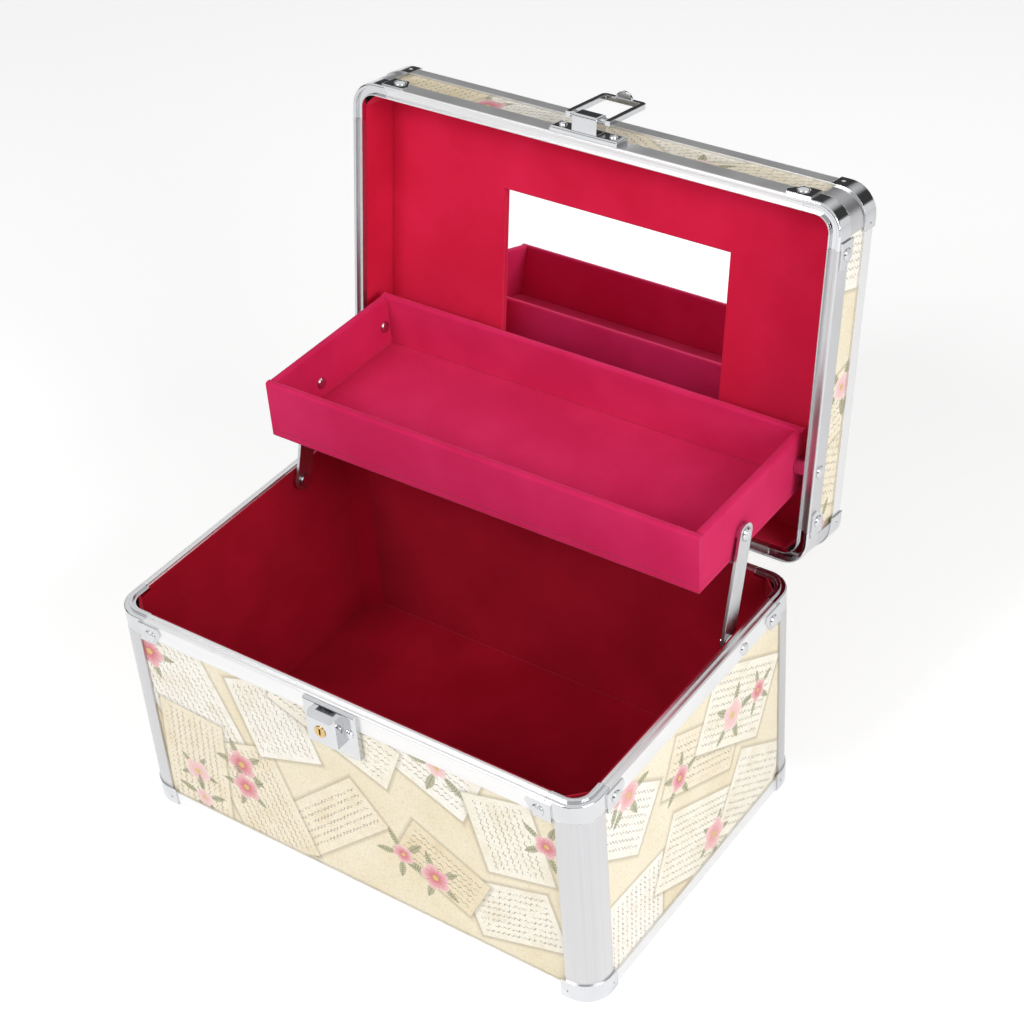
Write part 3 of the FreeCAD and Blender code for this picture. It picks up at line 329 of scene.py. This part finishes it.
RIGHTWARD = (1, 0, 0)
LEFTWARD = (-1, 0, 0)
BACKWARD = (0, 1, 0)
FORWARD = (0, -1, 0)
UPWARD = (0, 0, 1)
PANEL_AXES = {"front": RIGHTWARD, "rear": LEFTWARD, "left": FORWARD, "right": BACKWARD}
PRINT_SEEDS = {"front": 11, "rear": 23, "left": 37, "right": 41}
for side, across in PANEL_AXES.items():
    node = f"base_{side}_board"
    centre, size = middle(node)
    width = MM_PER_METRE * max(size.x, size.y)
    height = MM_PER_METRE * size.z
    name = f"printed_cloth_base_{side}"
    dress(cloth_material(name, centre, across, UPWARD, width, height, PRINT_SEEDS[side]), node)

# Bottom board: the same board and cloth, with a few papers and sprigs printed in its middle.
# The four bottom trims lap over its edges, and the floor lining lies on it.
BOTTOM_PRINT = (30, 20)
BOTTOM_SEED = 5
centre = middle("base_bottom_board")[0]
bottom_cloth = cloth_material("plain_cloth_bottom", centre, RIGHTWARD, BACKWARD, *BOTTOM_PRINT, BOTTOM_SEED)
dress(bottom_cloth, "base_bottom_board")

# Corner posts, rim rails and edge trims: drawn aluminium, satin anodised, with fine draw lines
# along each bar. They are cut to length, pressed on to the boards and held by the corners.
ALUMINIUM = (0.58, 0.58, 0.592, 1)
# The rails' aluminium below is the posts' aluminium painted lighter: a painted highlight for the light that
# falls on the broad faces of the rails and trims dressed in it.
LIT_RAIL_ALUMINIUM = (0.78, 0.78, 0.785, 1)
SATIN = (0.36, 0.26)
PRESSED_EDGE = 0.0004
LINE_SHADE = 0.9
LINE_FADE = (0.35, 0.7)
LINE_DEPTH = 0.6
LINE_RELIEF = 0.04
SMUDGE_SCALE = 55.0
# Draw lines per metre along each axis
UPRIGHT_LINES = (1800, 1800, 6)
LONG_LINES = (6, 1800, 1800)
SHORT_LINES = (1800, 40, 40)


def metal_material(name, colour, roughness, streak, edge=PRESSED_EDGE):
    """Metal with slight streaks in its gloss and edges softened as a press or a die leaves them."""
    dull, shine = roughness
    material, tree, shader = new_finish(name)
    shader.inputs["Metallic"].default_value = 1.0
    place = add(tree, "ShaderNodeTexCoord").outputs["Object"]
    drawn = add(tree, "ShaderNodeMapping", {"Vector": place, "Scale": streak}).outputs[0]
    lines = mottle(tree, drawn, scale=1.0, detail=4.0)
    smudge = mottle(tree, place, SMUDGE_SCALE, detail=3.0)
    tone = [part * LINE_SHADE for part in colour[:3]] + [1]
    mix = calc(tree, "MULTIPLY", ramp(tree, lines, *LINE_FADE), LINE_DEPTH)
    tree.links.new(blend_colour(tree, mix, colour, tone), shader.inputs["Base Color"])
    rough = calc(tree, "MULTIPLY_ADD", smudge, shine - dull, dull)
    tree.links.new(rough, shader.inputs["Roughness"])
    raise_grain(tree, shader, lines, LINE_RELIEF, edge=edge)
    return material


upright_bar = metal_material("aluminium_posts", ALUMINIUM, SATIN, UPRIGHT_LINES)
# The long and short bars take the lighter copy, which is a painted highlight; the posts keep the plain tone.
long_bar = metal_material("aluminium_long_painted_light", LIT_RAIL_ALUMINIUM, SATIN, LONG_LINES)
short_bar = metal_material("aluminium_short_painted_light", LIT_RAIL_ALUMINIUM, SATIN, SHORT_LINES)
dress(upright_bar, "base_corner_posts")
dress(long_bar, "base_bottom_trims", "base_front_rail", "base_rear_rail")
dress(short_bar, "base_left_rail", "base_right_rail")

# Rim corners, bottom corners and rivets: pressed steel, polished and chromed. Each rim corner is
# riveted through its two ears, and each bottom corner is nailed on.
CHROME = (0.62, 0.628, 0.645, 1)
POLISHED = (0.10, 0.05)
POLISH_MARKS = (90, 90, 90)
chrome = metal_material("chrome", CHROME, POLISHED, POLISH_MARKS)
dress(chrome, "base_rim_corners", "base_bottom_corners", "base_corner_rivets")

# Lining: short flock in a strong pink red on paper, glued round the walls and over the floor.
# The pile takes the light softly and shows faint brushed clouds.
# The base's flock colours are a darker copy of the lid's and the tray's: painted shade for the shade inside
# the base. The real lining is one flock all through.
SHADED_BASE_FLOCK = (0.33, 0.001, 0.012, 1)
SHADED_BASE_BRUSHED = (0.42, 0.003, 0.020, 1)
FLOCK_SHEEN = (1.0, 0.25, 0.4, 1)
BRUSH_SCALE = 30.0
BRUSH_FADE = (0.38, 0.68)
PILE_SCALE = 2600.0
PILE_FADE = (0.3, 0.7)
PILE_DEPTH = 0.3
PILE_RELIEF = 0.4
LINING_FOLD = 0.0008


def flock_material(name, deep, brushed, fold=LINING_FOLD):
    """Flock with faint brushed clouds, a fine pile and edges as soft as cloth bent over board."""
    material, tree, shader = new_finish(name)
    place = add(tree, "ShaderNodeTexCoord").outputs["Object"]
    brush = ramp(tree, mottle(tree, place, BRUSH_SCALE, detail=5.0), *BRUSH_FADE)
    pile = mottle(tree, place, PILE_SCALE, detail=2.0)
    colour = blend_colour(tree, brush, deep, brushed)
    colour = blend_colour(tree, ramp(tree, pile, *PILE_FADE, 0.0, PILE_DEPTH), colour, deep)
    tree.links.new(colour, shader.inputs["Base Color"])
    raise_grain(tree, shader, pile, PILE_RELIEF, edge=fold)
    shader.inputs["Roughness"].default_value = 0.95
    shader.inputs["Specular IOR Level"].default_value = 0.15
    shader.inputs["Sheen Weight"].default_value = 0.35
    shader.inputs["Sheen Roughness"].default_value = 0.4
    shader.inputs["Sheen Tint"].default_value = FLOCK_SHEEN
    return material


# The base's lining takes the darker copy of the flock, which is painted shade.
base_flock_painted_shade = flock_material("base_flock_painted_shade", SHADED_BASE_FLOCK, SHADED_BASE_BRUSHED)
dress(base_flock_painted_shade, "base_wall_lining", "base_floor_lining")

# Lock: a chromed steel plate and case riveted on the front of the base, with a brass key plug.
# The plug turns in the case by a quarter turn.
BRASS = (0.66, 0.47, 0.20, 1)
BRASS_WORN = (0.30, 0.20)
BRASS_MARKS = (400, 400, 400)
brass = metal_material("brass", BRASS, BRASS_WORN, BRASS_MARKS)
dress(chrome, "lock_plate", "lock_case", "lock_rivets")
dress(brass, "lock_plug")

# Hinges: two butt hinges of chromed steel at the back, each on its own steel pin. Their leaves
# are riveted through the rear rails and boards of base and lid.
dress(chrome, "base_hinge_leaves", "base_hinge_rivets", "hinge_pins", "lid_hinge_leaves", "lid_hinge_rivets")

# Lid boards: the same board in the same printed cloth. The lid stands open, so its print is laid
# out along the lid's own height and depth.
lid_range = next(joint["range_deg"] for joint in frame["joints"] if joint["name"] == "lid_hinge")
lid_angle = math.radians(lid_range[1])
lid_up = Vector((0, math.sin(lid_angle), math.cos(lid_angle)))
lid_back = Vector((0, math.cos(lid_angle), -math.sin(lid_angle)))
LID_AXES = {"front": RIGHTWARD, "rear": LEFTWARD, "left": -lid_back, "right": lid_back}
LID_SEEDS = {"front": 53, "rear": 59, "left": 61, "right": 67}
LID_TOP_SEED = 71
LID_STRIP_HEIGHT = 22
for side, across in LID_AXES.items():
    node = f"lid_{side}_board"
    centre, size = middle(node)
    width = MM_PER_METRE * (size.x if side in ("front", "rear") else size.z)
    name = f"printed_cloth_lid_{side}"
    dress(cloth_material(name, centre, across, lid_up, width, LID_STRIP_HEIGHT, LID_SEEDS[side]), node)
centre, size = middle("lid_top_board")
width = MM_PER_METRE * size.x
height = MM_PER_METRE * size.z
name = "printed_cloth_lid_top"
dress(cloth_material(name, centre, RIGHTWARD, -lid_back, width, height, LID_TOP_SEED), "lid_top_board")

# Lid frame: rails, trims and short posts of drawn aluminium, with pressed and chromed corners
# riveted at the rim, as on the base.
lid_short_bar = metal_material("aluminium_lid_short", ALUMINIUM, SATIN, SHORT_LINES)
dress(long_bar, "lid_front_rail", "lid_rear_rail", "lid_top_trims")
dress(lid_short_bar, "lid_left_rail", "lid_right_rail", "lid_corner_posts")
dress(chrome, "lid_rim_corners", "lid_top_corners", "lid_corner_rivets")

# Lid lining and mirror: flocked paper round the lid's walls, and a flocked board with a window
# cut in it, in front of a sheet of silvered glass.
LID_FLOCK = (0.60, 0.008, 0.045, 1)
LID_BRUSHED = (0.68, 0.014, 0.066, 1)
SILVER = (0.90, 0.91, 0.92, 1)
SILVER_GLOSS = (0.02, 0.01)
SILVER_MARKS = (5, 5, 5)
GLASS_EDGE = 0.0002
lid_flock = flock_material("lid_flock", LID_FLOCK, LID_BRUSHED)
dress(lid_flock, "lid_wall_lining", "mirror_board")
mirror_silver = metal_material("mirror_silver", SILVER, SILVER_GLOSS, SILVER_MARKS, GLASS_EDGE)
dress(mirror_silver, "mirror")

# Hasp: a chromed plate and block riveted on the front of the lid, with a flat-barred loop that
# swings on the block and drops over the lock case. The loop ends in a lip for a finger.
dress(chrome, "hasp_plate", "hasp_block", "hasp_rivets", "hasp_loop")

# Handle: a moulded plastic grip, lightly grained and worn, that folds flat against the lid.
# It hangs in two chromed brackets riveted on the lid's top board.
GRIP = (0.50, 0.51, 0.53, 1)
GRIP_WORN = (0.58, 0.59, 0.61, 1)
WEAR_SCALE = 40.0
WEAR_FADE = (0.4, 0.7)
GRIP_ROUGH_FADE = (0.3, 0.7)
GRIP_ROUGH = (0.46, 0.36)
GRIP_GRAIN_SCALE = 1600.0
GRIP_RELIEF = 0.2
GRIP_RELIEF_DEPTH = 0.0001
GRIP_EDGE = 0.001
dress(chrome, "handle_brackets", "handle_rivets")
grip, tree, shader = new_finish("handle_plastic")
place = add(tree, "ShaderNodeTexCoord").outputs["Object"]
worn = mottle(tree, place, WEAR_SCALE, detail=4.0)
grain = mottle(tree, place, GRIP_GRAIN_SCALE, detail=2.0)
tree.links.new(blend_colour(tree, ramp(tree, worn, *WEAR_FADE), GRIP, GRIP_WORN), shader.inputs["Base Color"])
tree.links.new(ramp(tree, worn, *GRIP_ROUGH_FADE, *GRIP_ROUGH), shader.inputs["Roughness"])
raise_grain(tree, shader, grain, GRIP_RELIEF, GRIP_RELIEF_DEPTH, GRIP_EDGE)
dress(grip, "handle_grip")

# Tray: five pieces of thin board, boxed up and flocked all over, so that its edges are soft and
# its corners close. Rivets hold it to the lid and to the two arms.
TRAY_FLOCK = (0.58, 0.012, 0.085, 1)
TRAY_BRUSHED = (0.66, 0.022, 0.115, 1)
TRAY_FOLD = 0.0012
tray_flock = flock_material("tray_flock", TRAY_FLOCK, TRAY_BRUSHED, TRAY_FOLD)
dress(tray_flock, "tray_floor", "tray_front_wall", "tray_rear_wall", "tray_left_wall", "tray_right_wall")

# Arms and pivots: two flat strips of aluminium that lift the tray with the lid. They turn on
# chromed rivets in the base walls, and the tray on chromed rivets in the lid walls.
ARM_SATIN = (0.34, 0.24)
ARM_MARKS = (200, 200, 200)
arm_metal = metal_material("aluminium_arms", ALUMINIUM, ARM_SATIN, ARM_MARKS)
dress(arm_metal, "tray_arm_left", "tray_arm_right")
dress(chrome, "arm_pivot_left", "arm_pivot_right", "tray_arm_rivets", "tray_pivots")

# Floor: a plain pale sheet under the case. It stays white to the camera and in the metal, and
# keeps the shadow under the case.
FLOOR_SIZE = 2.4
FLOOR_COLOUR = (0.9, 0.9, 0.9, 1)
FLOOR_GLOW = 0.35
WHITE = (1, 1, 1, 1)


def background_rays(tree, rays):
    """One for a ray that shows the background, straight or in metal or glass, and nought for others."""
    seen = calc(tree, "MAXIMUM", rays["Is Camera Ray"], rays["Is Glossy Ray"])
    return calc(tree, "MAXIMUM", seen, rays["Is Transmission Ray"])


bpy.ops.mesh.primitive_plane_add(size=FLOOR_SIZE, location=(0, 0, 0))
floor = bpy.context.object
floor.name = "studio_floor"
floor_paper, tree, shader = new_finish("studio_paper")
shader.inputs["Base Color"].default_value = FLOOR_COLOUR
shader.inputs["Roughness"].default_value = 0.9
seen = background_rays(tree, add(tree, "ShaderNodeLightPath").outputs)
strength = calc(tree, "MULTIPLY", seen, FLOOR_GLOW)
glow = add(tree, "ShaderNodeEmission", {"Color": WHITE, "Strength": strength})
both = add(tree, "ShaderNodeAddShader", {0: shader.outputs[0], 1: glow.outputs[0]})
tree.links.new(both.outputs[0], tree.nodes["Material Output"].inputs["Surface"])
floor.data.materials.append(floor_paper)

# Studio: an even white sky and two soft boxes. The sky lights the case less than it shows, and a
# dark band low in it, which shows in reflections only, gives the metal its dark edges.
SKY_ON_CASE = 0.42
BAND_RISE = (0.02, 0.08)
BAND_FALL = (0.42, 0.34)
BAND_LIGHT = 0.06
world = bpy.data.worlds.new("studio")
bpy.context.scene.world = world
world.use_nodes = True
sky = world.node_tree
rays = add(sky, "ShaderNodeLightPath").outputs
seen = background_rays(sky, rays)
ways = add(sky, "ShaderNodeSeparateXYZ", {0: add(sky, "ShaderNodeTexCoord").outputs["Generated"]}).outputs
band = calc(sky, "MULTIPLY", ramp(sky, ways["Z"], *BAND_RISE), ramp(sky, ways["Z"], *BAND_FALL))
band = calc(sky, "MULTIPLY", band, rays["Is Glossy Ray"])
plain = ramp(sky, seen, 0.0, 1.0, SKY_ON_CASE, 1.0)
light = calc(sky, "MULTIPLY", plain, ramp(sky, band, 0.0, 1.0, 1.0, BAND_LIGHT))
sky.nodes["Background"].inputs["Color"].default_value = WHITE
sky.links.new(light, sky.nodes["Background"].inputs["Strength"])


def soft_lamp(name, place, target, size, power):
    lamp = bpy.data.lights.new(name, "AREA")
    lamp.size = size
    lamp.energy = power
    holder = bpy.data.objects.new(name, lamp)
    holder.location = place
    holder.rotation_euler = (Vector(target) - Vector(place)).to_track_quat("-Z", "Y").to_euler()
    bpy.context.collection.objects.link(holder)


soft_lamp("key_box", place=(-0.35, -1.1, 1.15), target=(0, 0, 0.15), size=0.6, power=10.5)
soft_lamp("fill_box", place=(1.25, -0.35, 0.75), target=(0, 0, 0.12), size=0.7, power=11.5)

# Camera: placed by matching the case's rim, rivets, tray and lid with the photograph. It looks
# down on the open case from its front right corner.
CAMERA_PLACE = (0.46335, -0.55518, 0.69476)
CAMERA_AIM = (0.01976, 0.02, 0.14676)
CAMERA_ROLL = -4.53
CAMERA_LENS = 77.64
CAMERA_SENSOR = 36.0
camera = bpy.data.cameras.new("camera")
camera.lens = CAMERA_LENS
camera.sensor_width = CAMERA_SENSOR
holder = bpy.data.objects.new("camera", camera)
holder.location = CAMERA_PLACE
look = (Vector(CAMERA_AIM) - Vector(CAMERA_PLACE)).to_track_quat("-Z", "Y")
holder.rotation_mode = "QUATERNION"
holder.rotation_quaternion = look @ Quaternion((0, 0, 1), math.radians(CAMERA_ROLL))
bpy.context.collection.objects.link(holder)
bpy.context.scene.camera = holder
bpy.context.scene.view_settings.view_transform = "Standard"
